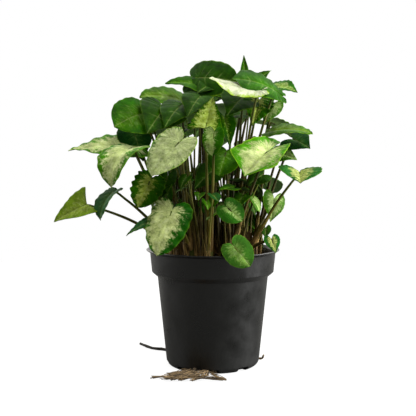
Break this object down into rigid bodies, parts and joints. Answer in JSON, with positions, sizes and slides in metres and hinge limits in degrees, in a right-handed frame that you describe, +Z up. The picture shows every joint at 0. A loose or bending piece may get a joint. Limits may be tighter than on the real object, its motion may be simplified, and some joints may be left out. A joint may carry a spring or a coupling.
{
  "type": "arrowhead plant in a nursery pot",
  "caption": "Bushy arrowhead plant with green and cream variegated leaves on long stalks, in a black plastic nursery pot with roots at its foot.",
  "frame": {"origin": "middle of the pot's flat underside, on the surface the pot stands on", "axes": "+Z up along the pot's axis, -Y towards the front of the plant, +X to its right"},
  "size_m": [0.328, 0.2234, 0.3991],
  "materials": {
    "pot_plastic": "satin black polypropylene",
    "soil": "loose brown peat with pale crumbs",
    "leaf": "soft satin living leaf, green with cream marbling",
    "stalk": "satin fleshy stalk, green above and brown at the sheath",
    "root": "dry fibrous root",
    "dark_root": "dark damp root"
  },
  "bodies": {
    "root": {"pot": "pot_plastic", "soil": "soil", "plantlet_a": "leaf", "plantlet_b": "leaf", "plantlet_c": "leaf", "plantlet_d": "leaf", "plantlet_e": "leaf", "plantlet_f": "leaf", "plantlet_g": "leaf", "plantlet_h": "leaf", "plantlet_i": "leaf", "plantlet_j": "leaf", "plantlet_k": "leaf", "plantlet_l": "leaf", "plantlet_m": "leaf", "plantlet_n": "leaf", "plantlet_o": "leaf", "plantlet_p": "leaf", "root_mat": "root", "root_back": "dark_root", "root_right": "root"}
  },
  "joints": []
}
